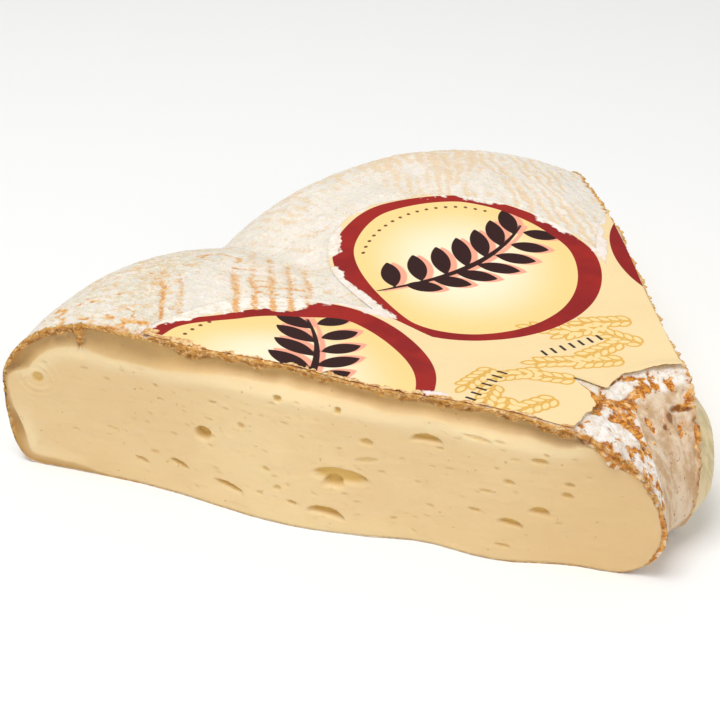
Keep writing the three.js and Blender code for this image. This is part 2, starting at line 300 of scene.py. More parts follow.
def random_pits(count, seed, low_r, high_r):
    rng = np.random.default_rng(seed)
    pits = []
    for _ in range(count):
        size = 0.16 + 0.34 * rng.random() ** 3
        pits.append((
            rng.uniform(low_r, high_r), rng.uniform(2, 29), size * rng.uniform(1.0, 2.2), size * 0.7,
            rng.uniform(-8, 16), rng.uniform(0, 0.4), size * rng.uniform(0.5, 0.9),
        ))
    return tuple(pits)


def dents(r, z, pits):
    """Depth of the hollows at each point, and how deep inside a hollow it is, 0 to 1."""
    depth = np.zeros_like(r)
    inside = np.zeros_like(r)
    for pr, pz, wide, high, tilt, bend, deep in pits:
        near = (np.abs(r - pr) < 2.2 * wide + 1) & (np.abs(z - pz) < 2.5 * high + 0.4 * wide + 1)
        if not near.any():
            continue
        along, across = turned(r[near] - pr, z[near] - pz, tilt)
        u = along / wide
        v = across / high + bend * u * u
        away = np.hypot(u, v)
        ramp = np.where(v > 0, smooth(1.15 - away, 0, 0.32), smooth(1.35 - away, 0, 0.9))
        here = 0.8 * deep * ramp
        depth[near] = np.maximum(depth[near], here)
        inside[near] = np.maximum(inside[near], smooth(ramp, 0.25, 1) * min(1.0, deep))
    return depth, inside


# The cheese as one closed mesh

def resample(r, z, count, weight):
    length = np.concatenate([[0], np.cumsum(np.hypot(np.diff(r), np.diff(z)) * weight)])
    want = np.linspace(0, length[-1], count)
    return np.interp(want, length, r), np.interp(want, length, z)


def section_loop(turn):
    """Points round a section: over the top from hole to rim, then back below."""
    inner, outer, _ = (float(value) for value in span(np.float64(turn)))
    even = np.linspace(0, 1, SECTION_SAMPLES)
    r = inner + (outer - inner) * (1 - np.cos(math.pi * even)) / 2
    low, high = thickness(turn, r)
    high[0] = low[0] = HOLE_WAIST
    high[-1] = low[-1] = (high[-1] + low[-1]) / 2
    top_r, top_z = resample(r, high, TOP_POINTS, 1.0)
    mid = (r[1:] + r[:-1]) / 2
    flat = smooth(mid, inner + 6, inner + 16) * smooth(outer - mid, 3, 10)
    low_r, low_z = resample(r[::-1], low[::-1], LOW_POINTS + 2, (1 - 0.85 * flat)[::-1])
    return np.concatenate([top_r, low_r[1:-1]]), np.concatenate([top_z, low_z[1:-1]])


# The sections stand closer together beside the two cuts
even = np.linspace(0, 1, SLICES + 1)
turns = even - SLICE_CROWDING * np.sin(2 * math.pi * even)
R, Z = np.stack([section_loop(turn) for turn in turns], axis=1)
LOOP = R.shape[1]
T = np.repeat(turns[:, None], LOOP, axis=1)
is_top = np.arange(LOOP) < TOP_POINTS

tangent_r = np.roll(R, -1, 1) - np.roll(R, 1, 1)
tangent_z = np.roll(Z, -1, 1) - np.roll(Z, 1, 1)
tangent = np.hypot(tangent_r, tangent_z) + 1e-9
NR, NZ = -tangent_z / tangent, tangent_r / tangent
_, HIGH = thickness(T, R)
INNER, OUTER, GROOVE = span(T)

X0, Y0 = at(T, R)
AZ = np.arctan2(Y0, X0)
RW = np.hypot(X0, Y0)
to_front = (1 - T) * SPREAD * R
to_back = T * SPREAD * R

label_in, label_out = label_edges(AZ)
under_label = smooth(RW - label_in, -0.2, 1.2) * smooth(label_out - RW, -0.2, 1.2) * smooth(NZ, 0.6, 0.8)
hole_side = smooth(INNER + 32 - R, 0, 3) * (1 - under_label)

# Worn lines run through the white mould: straight on the front lobe, fanned or leaning on the next.
# They and the rungs between them have their spacings in mm, the fan in radians.
LINE_SPACING, LEAN_SPACING, RUNG_SPACING, FAN_SPACING = 3.75, 2.7, 2.9, 0.052
ARC_X, ARC_Y, ARC_RADIUS = -94.5, 76.5, 4.1
CORNER_X, CORNER_Y, CORNER_SIZE = -67, 86, 8
WHITE_SPOTS = ((-63, 101, 8), (-36, 108, 5), (-51, 113, 4))


def over_shell(size, seed, layers=4):
    return layered(X0 / size, Y0 / size, Z / size, seed, layers)


def along_lobe(x, y):
    """How far along the front lobe a point lies, across the worn lines."""
    return x + 0.08 * (y - 60)


patch = over_shell(14, 21)
crumb = over_shell(1.3, 31, 3)
speckle = over_shell(2.6, 41)
worms = 1 - np.abs(over_shell(3.2, 43)) * 3.2
warp = over_shell(8, 11)
fine_warp = over_shell(2.2, 12)
# 1 on the front lobe and 0 on the next
lobe = smooth(np.degrees(AZ) + 2 * warp, 133.5, 137)
beyond = RW - label_out
along = along_lobe(X0, Y0)

straight = (along + 90 + 0.6 * warp + 0.45 * fine_warp) / LINE_SPACING
fanned = (np.arctan2(Y0 - FAN_Y, X0 - FAN_X) + 0.022 * warp + 0.012 * fine_warp) / FAN_SPACING
leaning = (0.968 * X0 + 0.25 * Y0 + 1.5 * warp + 0.6 * fine_warp) / LEAN_SPACING
right_end = smooth(X0, -37, -33)
phase = np.where(lobe > 0.5, straight, np.where(right_end > 0.5, leaning, fanned))
line = np.round(phase)
width = 1.15 - 0.2 * lobe + 0.4 * noise(line * 7.7, RW / 5, 0 * R, 15)
stripe = bell((phase - line) * 3.7, width)
broken = smooth(noise(line * 3.1, RW / 3.4, 0 * R, 16) + 0.35 * crumb, -0.75, 0.0)
stripe = stripe * lerp(0.3 + 0.7 * broken, 0.5 + 0.5 * broken, lobe)
rung_place = Y0 + 0.5 * warp
rungs = bell(rung_place - RUNG_SPACING * np.round(rung_place / RUNG_SPACING), 0.55)
rungs = rungs * smooth(speckle, -0.9, 0.0)
right_rungs = smooth(64 - Y0, -1, 1) * smooth(X0, -88, -86) * smooth(-75 - X0, -1, 1)
left_rung = bell(Y0 - 70, 2) * smooth(X0, -92.5, -91) * smooth(-85 - X0, -1, 1)

# The orange rind shows through along these lines, in dots and veins, and at the front cut
reach = 27 + 3 * noise(line * 5.3, 0 * R, 0 * R, 17)
lined = smooth(along, -93, -91.5) * smooth(-73 - along, -1, 1) + 1.15 * bell(along + 104, 4.6)
band = lobe * lined * smooth(reach - beyond, -1, 4)
puff = bell(np.hypot((along + 97) / 4.6, (beyond - 9) / 13), 1) * lobe
left_end = lobe * smooth(-X0, 93, 101)
front_strip = lobe * smooth(-X0, 78, 90) * smooth(22 - to_front + 6 * patch, 0, 14)
dots = smooth(0.6 * speckle + 1.1 * crumb, 0.0, 1.0) * (1 - 0.9 * puff)
veins = smooth(worms + 0.4 * crumb, 0.45, 1.3)
from_arc = np.hypot(X0 - ARC_X, Y0 - ARC_Y) - ARC_RADIUS
flank = (1 - lobe) * smooth(-X0, 66, 74) * smooth(patch + 0.6 * speckle, -0.7, 0.1)
corner = (1 - lobe) * bell(np.hypot(X0 - CORNER_X, Y0 - CORNER_Y), CORNER_SIZE)
orange = np.maximum.reduce([
    0.72 * stripe * band,
    0.75 * lobe * np.maximum(rungs * right_rungs, rungs * left_rung),
    dots * (0.1 + 0.4 * left_end + 0.5 * front_strip),
    veins * (0.1 + 0.4 * left_end + 0.15 * band),
    front_strip * bell(to_front, 3.6) * smooth(crumb, -0.5, 0.5) * 0.9,
    0.85 * bell(from_arc, 0.8) * smooth(Y0, 73, 75) * smooth(crumb, -1.2, -0.2),
    0.5 * stripe * flank * (1 - right_end) * smooth(10 - beyond, 0, 5),
    corner * smooth(speckle + 0.6 * crumb, -0.1, 0.7) * 0.9,
])
mould = 1 - np.clip(orange, 0, 1)

marks = 0.05 + 0.2 * patch + lobe * (0.35 + 0.2 * left_end - 0.9 * puff)
marks = marks + 0.3 * lobe * bell(X0 + 110, 14)
marks = np.clip(marks, 0, 1) * (1 - hole_side)
drips = 1 - stripe * smooth(1.1 + patch + 0.3 * speckle, 0, 1)
drips = lerp(1, drips, 0.3 + 0.7 * smooth(Z, 14, 28))
pale = 0.55 * GROOVE + 0.2 * smooth(-X0, 66, 74) + 0.1 * right_end
top_tan = 0.14 * bell(X0 + 48, 15) * smooth(beyond, 2, 12)
back_tan = 0.27 + top_tan + (1 - drips) + 0.3 * patch + 0.25 * speckle - pale
tan = (1 - lobe) * np.clip(back_tan, 0, 1)
for white_x, white_y, size in WHITE_SPOTS:
    tan = tan * (1 - bell(np.hypot(X0 - white_x, Y0 - white_y), size))
front_tan = 0.3 * stripe * band + 0.24 + 0.2 * patch + 0.35 * speckle
front_tan = front_tan + 0.35 * crumb * left_end - 0.5 * puff
tan = np.maximum(tan, lobe * np.clip(front_tan, 0, 1))
grey = np.clip(0.35 + 0.6 * over_shell(9, 23) + 0.3 * GROOVE + 0.25 * left_end, 0, 1)

# Near the hole the rind is rough. Patches lie by turn, and by way over the shoulder in mm
OVER = R - INNER + Z
WHITE_PATCHES = (
    (0.86, 44.5, 4.2, 4.4), (0.45, 48.4, 3, 1.6), (0.93, 38, 1.6, 2.4), (0.16, 48.8, 1, 2.6),
    (0.75, 40, 2.4, 3.6), (0.68, 36, 1.6, 2), (0.24, 50.2, 0.9, 1.6), (0.075, 42.5, 0.8, 4),
    (0.47, 40.5, 1.4, 2.4), (0.30, 40, 1.6, 1.8),
)
BARE_PATCHES = (
    (0.585, 41.5, 2, 3.3), (0.66, 43.4, 1.6, 1.4), (0.67, 51.5, 2.4, 4.4), (0.71, 48.6, 1.2, 2.2),
    (0.34, 45.4, 2.9, 1.2), (0.31, 49.8, 1.6, 0.7), (0.20, 47, 0.7, 3.4), (0.115, 44.6, 0.7, 3),
    (0.04, 39.5, 0.8, 3), (0.09, 37.2, 2.4, 1.5), (0.40, 36.2, 0.8, 2.6), (0.265, 35, 0.9, 3.8),
    (0.134, 31.6, 0.8, 3), (0.019, 29, 0.8, 4.4), (1, 43, 1.3, 3.6), (0.62, 34.6, 0.6, 2.2),
    (0.58, 49.6, 1.3, 4.2), (0.53, 54.8, 1.9, 4.6), (0.50, 42.4, 2.4, 3.2), (0.60, 38.6, 1.5, 2.4),
)
CRACKS = (
    (0.21, 35.2, 0.5, 1.7), (0.27, 33.4, 0.4, 0.9), (0.14, 37.3, 1.2, 0.9), (0.06, 36.4, 1.2, 0.8),
    (0.64, 33.6, 0.3, 1.8), (0.66, 31.2, 0.3, 1.2),
)


def patches(places, wobble):
    total = np.zeros_like(R)
    for turn, over, wide, tall in places:
        across = (T - turn) * (11 + 0.35 * OVER) + wobble * crumb
        along = OVER - over + wobble * speckle
        total = np.maximum(total, smooth(1.35 - np.hypot(across / wide, along / tall), 0, 0.7))
    return total


blotch = layered(X0 / 3.6, Y0 / 3.6, Z / 5, 51)
white_here = patches(WHITE_PATCHES, 0.7)
bare_here = patches(BARE_PATCHES, 0.4)
cracked = patches(CRACKS, 0.3)
hole_bare = 0.49 + 0.45 * blotch + 0.4 * crumb + 0.25 * speckle + 0.95 * bare_here - 0.7 * white_here
wall_top = 43.5 - 29 * smooth(T, 0.38, 0.8)
wall = smooth(wall_top - OVER + 2.0 * blotch, -2, 2) * smooth(INNER + 16 - R, 0, 3)
hole_edge = smooth(1.2 + 0.9 * speckle - to_front, 0, 1.0)
hole_bare = hole_bare - 0.5 * wall + 0.65 * hole_edge
mould = lerp(mould, 1 - smooth(hole_bare, 0.3, 0.8), hole_side)

grain = crumbs(X0 / 1.5, Y0 / 1.5, Z / 1.5, 301)
relief = 0.2 * crumb + 0.22 * speckle + 0.25 * patch + 0.5 * (mould - 0.7) - 0.3 * tan - 0.3
hole_relief = 0.6 * blotch + 0.3 * crumb + 0.5 * (mould - 0.5) - 1.5 * cracked - 0.4
smear = layered(np.arctan2(Y0 - HOLE_Y, X0 - HOLE_X) * 6, Z / 22, Z * 0, 61)
relief = lerp(relief, lerp(hole_relief, 0.4 * smear - 0.3 - 0.4 * bare_here, wall), hole_side)
relief = relief * (1 - under_label) * smooth(Z, 0.5, 4) * np.where(is_top, 1, 0.4)
edge_dip = bell(to_front, 1.3) + bell(to_back, 1.0)
relief = relief + (0.6 * grain - 0.4) * edge_dip * smooth(Z, 1, 5) * (1 - 0.75 * under_label)
low_hole = smooth(18 - Z, 0, 6) * smooth(INNER + 12 - R, 0, 4)
relief = relief * (1 - 0.9 * low_hole * np.maximum(bell(to_front, 2), bell(to_back, 2)))

# The crumbled rind stands out in heaps along the front cut, by radius
LABEL_HEAP, HOLE_HEAP, MIDDLE_HEAP = 103, 33.5, 53


def front_edge_crumbs(r, z):
    """How far the rind's crumbs stand out of the cut."""
    waves = layered(r / 8, z / 30, 0 * r, 73, 2)
    coarse = layered(r / 2.6, z / 2.6, 0 * r, 71)
    grains = crumbs(r / 1.35, z / 1.2, 0.5 + 0 * r, 311)
    heaps = 0.5 * (bell(r - LABEL_HEAP, 3) + bell(r - HOLE_HEAP, 1.6)) * smooth(z, 24, 28)
    return (0.55 * waves + 0.5 * coarse + 0.65 * grains - 0.3 + heaps) * (0.2 + 0.8 * smooth(z, 8, 20))


OUT = push(T, R, Z, HIGH)
OUT = OUT + front_edge_crumbs(R, Z) * (bell(to_front, 1.6) - bell(to_back, 1.6))
RD, ZD = R + NR * relief, np.maximum(Z + NZ * relief, 0.0)
X, Y = at(T, RD, OUT)
shell = np.stack([X, Y, ZD], -1)

# The rind's masks, first mould, rind's edge, hole's wall and hole's side, then paste, tan, painted shade
# (in the cracks and between the crumbs), grey
edge_here = smooth(edge_dip + 0.25 * crumb, 0.3, 0.9) * (1 - 0.6 * hole_side) * smooth(Z, 3, 8)
# Painted shade: dark in the cracks by the hole and between the crumbs along the cut edges.
painted_shade = np.maximum(cracked * hole_side, 0.4 * (1 - grain) * edge_dip)
masks_a = np.stack([mould, edge_here, wall * hole_side, hole_side], -1)
masks_b = np.stack([0 * R, tan * (1 - hole_side), painted_shade, grey], -1)


def edge_table(index, front):
    """The rind's thickness and tan zone's width at each point of a section."""
    r, z = R[index], Z[index]
    inner, outer = INNER[index, 0], OUTER[index, 0]
    lumps = 0.5 * noise(r / 6, 0 * r, 0 * r, 321) + 0.3 * noise(r / 2.3, 0 * r, 0 * r, 322)
    heaps = 1.5 * bell(r - LABEL_HEAP, 3.0) + 0.9 * bell(r - HOLE_HEAP, 1.6)
    heaps = heaps + 0.5 * bell(r - MIDDLE_HEAP, 4)
    thick = np.where(is_top, 2.1 + 1.2 * lumps + (heaps if front else 0.0), 0.2)
    at_rim = smooth(r, outer - 12, outer - 3) * smooth(31 - z, 0, 6)
    thick = lerp(thick, 0.4, at_rim)
    at_hole = smooth(inner + 11 - r, 0, 6)
    thick = lerp(thick, 0.9 * smooth(z, 2, 7) + 0.1, at_hole)
    at_foot = 0.3 + 2.2 * smooth(r, outer - 26, outer - 10)
    zone = np.where(is_top, lip_depth(r) if front else 2.3, at_foot)
    side = 1.0 + 2.3 * bell(z - 6, 8)
    zone = lerp(zone, side, smooth(r, outer - 16, outer - 5) * smooth(27 - z, 0, 6))
    zone = lerp(zone, 0.9 * smooth(z, 2, 7) + 0.1, at_hole)
    return thick, zone


BASE_STEP = 1 / 6
CHUNK = 4000


def nearest_edge(r, z, index):
    """Each point's distance to the section's outline, and its nearest place on it."""
    steps = np.concatenate([np.arange(TOP_POINTS), np.arange(TOP_POINTS, LOOP, BASE_STEP)])
    closed = np.arange(LOOP + 1)
    loop_r, loop_z = (np.interp(steps, closed, np.append(a[index], a[index, 0])) for a in (R, Z))
    flat_r, flat_z = r.ravel(), z.ravel()
    distance, which = np.empty(flat_r.size), np.empty(flat_r.size, int)
    for start in range(0, flat_r.size, CHUNK):
        part = slice(start, start + CHUNK)
        gap = np.hypot(flat_r[part, None] - loop_r, flat_z[part, None] - loop_z)
        which[part] = gap.argmin(1)
        distance[part] = gap.min(1)
    return distance.reshape(r.shape), steps[which].reshape(r.shape)


SWIRL_R, SWIRL_Z = 136.5, 22.1
CREASE_RADIUS = 126.3


def grid_faces(ids):
    """Quads between the neighbours in a grid of point numbers."""
    return np.stack([ids[:-1, :-1], ids[:-1, 1:], ids[1:, 1:], ids[1:, :-1]], -1).reshape(-1, 4)


def cut_face(index, front):
    """Grid of one cut's points below the rind's edge, with its masks."""
    top_r, top_z = R[index, :TOP_POINTS], Z[index, :TOP_POINTS]
    turn = float(turns[index])
    low, high = thickness(turn, top_r)
    low = np.minimum(low, top_z)
    rows = np.linspace(0, 1, CUT_ROWS)[1:, None] ** 1.25
    r = np.repeat(top_r[None, :], CUT_ROWS - 1, axis=0)
    z = top_z + (low - top_z) * rows * 0.985
    seed = 81 if front else 91
    flat = 0 * r
    depth = top_z - z
    from_edge, place = nearest_edge(r, z, index)
    thick, zone = (np.interp(place, np.arange(LOOP), table) for table in edge_table(index, front))
    wobble = layered(r / 7, z / 7, flat, seed)
    crumbly = layered(r / 1.1, z / 1.1, flat, seed + 2, 3)
    lip = lip_depth(r) if front else BACK_LIP
    out = sag(r, z, high, turn, *(FRONT_SAG if front else BACK_SAG), lip)
    edge = thick * (1 + 0.3 * wobble) + 0.3 * crumbly
    rind = smooth(edge - from_edge, -0.2, 0.2)
    lip_line = zone + 0.4 * wobble
    cove = smooth(lip_line - from_edge, -0.25, 0.4) * (1 - rind)
    down_lip = np.clip(from_edge / np.maximum(lip_line, 0.5), 0, 1)
    hollow = np.sin(math.pi * down_lip)
    deep = smooth(lip_line, 1.2, 3.5)
    out = out - 1.5 * hollow * deep * smooth(z, 3, 9)
    # The paste's lip rises a little, and the same mask paints a highlight along the lip in the material.
    lip_rise_and_highlight = bell(from_edge - lip_line - 1.2, 1.8) * deep
    out = out + 0.15 * lip_rise_and_highlight
    pits, inside = dents(r, z, FRONT_PITS if front else BACK_PITS)
    fade = smooth(from_edge - lip_line, 0.2, 1.4)
    smears = layered(r / 9, z / 1.5, flat, seed + 20)
    soft = layered(r / 6, z / 5, flat, seed + 21)
    out = out - pits * fade + (0.05 * smears + 0.14 * soft) * fade
    crumb_rise = front_edge_crumbs(r, z)
    out = out + crumb_rise * smooth(edge + 0.4 - from_edge, 0, 0.6)
    if front:
        ring = np.hypot(r - SWIRL_R, 1.1 * (z - SWIRL_Z))
        waves = np.cos(2 * math.pi * (ring + 0.35 * wobble) / 1.7) * bell(ring - 3.2, 2.6)
        out = out + (0.11 * waves - 0.5 * smooth(1.9 - ring, 0, 1.2)) * fade
        inside = np.maximum(inside, 0.9 * smooth(1.5 - ring + 0.3 * crumbly, 0, 0.6))
        bridge = smooth(1.3 - np.abs(r - CREASE_RADIUS) * (1 + 0.12 * depth) + 0.5 * crumbly, 0, 0.7)
        bridge = bridge * smooth(7.2 - depth, 0, 1.5)
        out = out + (0.9 * crumb_rise + hollow * deep) * bridge
        notch = bell(r - CREASE_RADIUS, 1.4) * smooth(9 - depth, 0, 3) * smooth(depth, 3.5, 5)
        out = out - 0.8 * notch
        rind = np.maximum(rind, bridge)
        crease = bell(r - 30 - 0.03 * z, 0.35) * smooth(z, 1, 5) * smooth(20 - z, 0, 5)
        out = out - 0.14 * crease
    x, y = at(turn, r, out if front else -out)
    points = np.stack([x, y, z], -1)
    # Painted shade in the gaps between the rind's grains.
    shade_between_grains = (1 - crumbs(r / 1.35, z / 1.2, 0.5 + flat, 311)) * rind
    # On the front face this is painted shade: darker towards the hole and at the left end. On the back cut
    # it tints the paste greener and streaked towards the hole.
    if front:
        painted_shade_and_tint = smooth(52 - r, 0, 34) + 0.5 * smooth(r, 98, 125)
    else:
        painted_shade_and_tint = smooth(60 - r, 0, 30)
    at_hole = smooth(float(INNER[index, 0]) + 20 - r, 0, 4)
    back_paste = np.where(rind > 0.3, at_hole, 0.0 if front else 1.0)
    # Painted shade between the grains on the rind; the eyes' insides on the paste.
    hollows = np.where(rind > 0.5, 0.45 * shade_between_grains, inside * fade)
    first = np.stack([lip_rise_and_highlight, rind, flat, back_paste], -1)
    # The cove is the tan zone under the rind; its share grows towards the rind's edge as painted shade
    # under the overhanging rind.
    second = np.stack([1 - rind, cove * (0.45 + 0.75 * (1 - down_lip)), hollows, painted_shade_and_tint], -1)
    return points, first, second


FRONT_PITS = FRONT_EYES + random_pits(190, 5, 22, 138) + random_pits(80, 6, 66, 112)
BACK_PITS = random_pits(200, 7, 22, 136) + tuple(
    (r, z, 1.8 + 0.02 * r, 0.8, 6, 0.4, 1.3) for r, z in ((40, 17), (62, 9), (88, 20), (104, 11), (71, 24))
)

rind_parts = (shell, masks_a, masks_b)
front_parts = cut_face(SLICES, True)
back_parts = cut_face(0, False)


def zip_rows(a, a_at, b, b_at, flip):
    """Triangles between two rows of points that don't match, each row given with its places."""
    faces, i, j = [], 0, 0
    while i < len(a) - 1 or j < len(b) - 1:
        step_a = j == len(b) - 1 or (i < len(a) - 1 and a_at[i + 1] <= b_at[j + 1])
        faces.append((a[i], a[i + 1], b[j]) if step_a else (a[i], b[j + 1], b[j]))
        i, j = (i + 1, j) if step_a else (i, j + 1)
    return [face[::-1] for face in faces] if flip else faces


def build_cheese():
    ids = np.arange(R.size).reshape(R.shape)
    quads = [grid_faces(np.append(ids, ids[:, :1], axis=1))]
    start = R.size
    triangles = []
    for front, edge, shape in ((True, SLICES, front_parts[0].shape), (False, 0, back_parts[0].shape)):
        grid = start + np.arange(shape[0] * shape[1]).reshape(shape[:2])
        start += grid.size
        rows = np.vstack([ids[edge, 1 : TOP_POINTS - 1][None, :], grid[:, 1:-1]])
        cells = grid_faces(rows)
        quads.append(cells[:, ::-1] if front else cells)
        low_ids = np.append(ids[edge, 0], ids[edge, TOP_POINTS - 1 :][::-1])
        low_at = np.append(R[edge, 0], R[edge, TOP_POINTS - 1 :][::-1])
        triangles += zip_rows(rows[-1], R[edge, 1 : TOP_POINTS - 1], low_ids, low_at, front)
        for column, tip in ((0, ids[edge, 0]), (-1, ids[edge, TOP_POINTS - 1])):
            for a, b in zip(rows[:-1, column], rows[1:, column]):
                triangles.append((a, b, tip) if (column == 0) == front else (b, a, tip))
    points, first, second = (
        np.concatenate([part.reshape(-1, part.shape[-1]) for part in parts])
        for parts in zip(rind_parts, front_parts, back_parts)
    )
    marked = np.pad(marks.ravel(), (0, len(points) - marks.size))
    attributes = {"masks_a": first, "masks_b": second, "marks": marked}
    return make_mesh("cheese_wedge", points, np.concatenate(quads), np.array(triangles, int), attributes)


def make_mesh(name, points, quads, triangles, attributes):
    """A smooth mesh object in the row frame, without the points that no face uses."""
    low, high = (np.array(corner) / MM - AXIS for corner in cad_box)
    points = np.clip(points, low + EDGE_MARGIN, high - EDGE_MARGIN)
    corners = np.concatenate([quads.ravel(), triangles.ravel()])
    used = np.zeros(len(points), bool)
    used[corners] = True
    corners = (np.cumsum(used) - 1)[corners]
    mesh = bpy.data.meshes.new(name)
    mesh.vertices.add(int(used.sum()))
    mesh.vertices.foreach_set("co", ((points[used] + AXIS) * MM).astype(np.float32).ravel())
    mesh.loops.add(corners.size)
    mesh.loops.foreach_set("vertex_index", corners.astype(np.int32))
    mesh.polygons.add(len(quads) + len(triangles))
    starts = np.concatenate([np.arange(len(quads)) * 4, quads.size + np.arange(len(triangles)) * 3])
    mesh.polygons.foreach_set("loop_start", starts.astype(np.int32))
    mesh.update(calc_edges=True)
    mesh.validate()
    mesh.shade_smooth()
    for key, values in attributes.items():
        kind, part = ("FLOAT_COLOR", "color") if values.ndim == 2 else ("FLOAT", "value")
        layer = mesh.attributes.new(key, kind, "POINT")
        layer.data.foreach_set(part, values[used].astype(np.float32).ravel())
    piece = bpy.data.objects.new(name, mesh)
    bpy.context.scene.collection.objects.link(piece)
    return piece


# The label, a thin sheet. Its print is laid out as distances to each shape, in mm
LABEL_SLICES = 330
LABEL_POINTS = 300
LABEL_LIFT, LABEL_SHEET, LABEL_INSET = 0.06, 0.14, 0.35
BADGE_PLACE, BADGE_RADIUS, RING_WIDTH, RING_SWELL = 84, 29.8, 3.9, 1.3
BEAD_PLACE, BEAD_RADIUS, BEAD_SPACING, BEAD_ARC = 21.5, 0.45, 6, 50
SPRIG_TURN = math.degrees(0.2)
BLANK = 9.0
# Rows of ticks, by radius and azimuth
TICK_ROWS = ((47, 118), (47, 149))
TICK_SPACING, TICK_ROW_REACH = 2.2, 8
# Ears of wheat, by their foot's radius and azimuth and their direction
EARS = (
    (52, 104, 205), (50, 111, 170), (42, 99, 150), (45, 104, 215), (38, 107, 190), (52, 98, 185),
    (50, 139, 235), (42, 131, 200), (42, 150, 260), (40, 117, 185), (34, 141, 215), (46, 146, 250),
    (37, 152, 225), (35, 128, 170),
)
EAR_SIZE = 0.85
# Mould over the label's outer edge, by azimuth, reach in degrees and width in mm
EDGE_MOULD = ((138.5, 2.6, 1.9), (99.5, 3, 1.2), (107, 8, 1.5), (131, 5, 1.0), (145, 3, 1.5))


def from_place(x, y, radius, degrees):
    """Offsets from a place on the wheel, to its right and outwards."""
    c, s = math.cos(math.radians(degrees)), math.sin(math.radians(degrees))
    dx, dy = x - radius * c, y - radius * s
    return dx * s - dy * c, dx * c + dy * s


def leaf(x, y, base_x, base_y, length, width, turn):
    """A pointed leaf, as the overlap of two circles."""
    u, v = turned(x - base_x, y - base_y, turn)
    u = u - length / 2
    radius = (length ** 2 / 4 + width ** 2 / 4) / width
    off = radius - width / 2
    return np.maximum(np.hypot(u, v - off), np.hypot(u, v + off)) - radius


def stem(x):
    return -1.2 + 0.012 * (x - 2) ** 2


def sprig(x, y):
    """Two rows of leaves on a bent stem."""
    stalk = np.abs(y - stem(x)) - 0.75 * (1 - 0.6 * np.abs(x) / 21)
    shape = np.where(np.abs(x) < 21, stalk, BLANK)
    for i in range(-3, 4):
        base = 5.7 * i
        size = 11.0 - 0.45 * abs(i)
        shape = np.minimum(shape, leaf(x, y, base, stem(base) + 0.3, size, 4.1, 58))
        shape = np.minimum(shape, leaf(x, y, base + 2.2, stem(base) - 0.6, size - 1.6, 3.8, -52))
    return shape


def wheat(x, y, radius, azimuth, turn):
    """An ear of grains, for a line drawing."""
    a = math.radians(azimuth)
    dx, dy = x - radius * math.cos(a), y - radius * math.sin(a)
    u, v = turned(dx / EAR_SIZE, dy / EAR_SIZE, turn)
    shape = np.full_like(x, BLANK)
    for i in range(5):
        for side in (1, -1):
            shape = np.minimum(shape, leaf(u, v, 2.0 + 2.3 * i, 0.35 * side, 3.6, 1.9, 32 * side))
    return np.minimum(shape, leaf(u, v, 13.4, 0, 4.0, 1.8, 0)) * EAR_SIZE


def label_print(x, y, azimuths, covered):
    """Distances to each print, the badges cut off where the edge is covered."""
    band, field, ink, shade, line, tick, spots = (np.full_like(x, BLANK) for _ in range(7))
    for petal, lean, drop in ((-1, -3.1, 1.0), (0, 0.0, 1.0), (1, 0.0, 5.5)):
        middle = PETAL_MIDDLE + 2 * petal * PETAL_HALF_ANGLE
        u, v = from_place(x, y, BADGE_PLACE, middle + lean)
        near = np.abs(azimuths - middle) <= PETAL_HALF_ANGLE
        disc = np.hypot(u - 0.6, v) - BADGE_RADIUS
        badge = (disc + covered + np.hypot(disc - covered, 1.0)) / 2
        ring_width = RING_WIDTH + RING_SWELL * np.sin(2 * np.arctan2(v, u) + 2.6)
        band = np.where(near, np.maximum(badge, -badge - ring_width), band)
        field = np.where(near, badge + ring_width, field)
        p, q = turned(u, v, SPRIG_TURN)
        ink = np.where(near, np.minimum(ink, sprig(p, q + drop)), ink)
        shade = np.where(near, np.minimum(shade, sprig(p - 0.9, q + drop + 1.0)), shade)
        about = np.degrees(np.arctan2(v, u)) - 90
        from_bead = about - BEAD_SPACING * np.round(about / BEAD_SPACING)
        beads = np.hypot(from_bead * math.pi / 180 * BEAD_PLACE, np.hypot(u, v) - BEAD_PLACE)
        beads = np.where(np.abs(about) < BEAD_ARC, beads - BEAD_RADIUS, BLANK)
        spots = np.where(near, np.minimum(spots, beads), spots)
    for ear in EARS:
        line = np.minimum(line, wheat(x, y, *ear))
    for radius, azimuth in TICK_ROWS:
        u, v = from_place(x, y, radius, azimuth)
        from_bar = u - TICK_SPACING * np.round(u / TICK_SPACING)
        bars = np.maximum(np.abs(from_bar) - 0.32, np.abs(v) - 1.1)
        tick = np.minimum(tick, np.where(np.abs(u) < TICK_ROW_REACH, bars, BLANK))
    return dict(band=band, field=field, ink=ink, shade=shade, line=line, tick=tick, spots=spots)


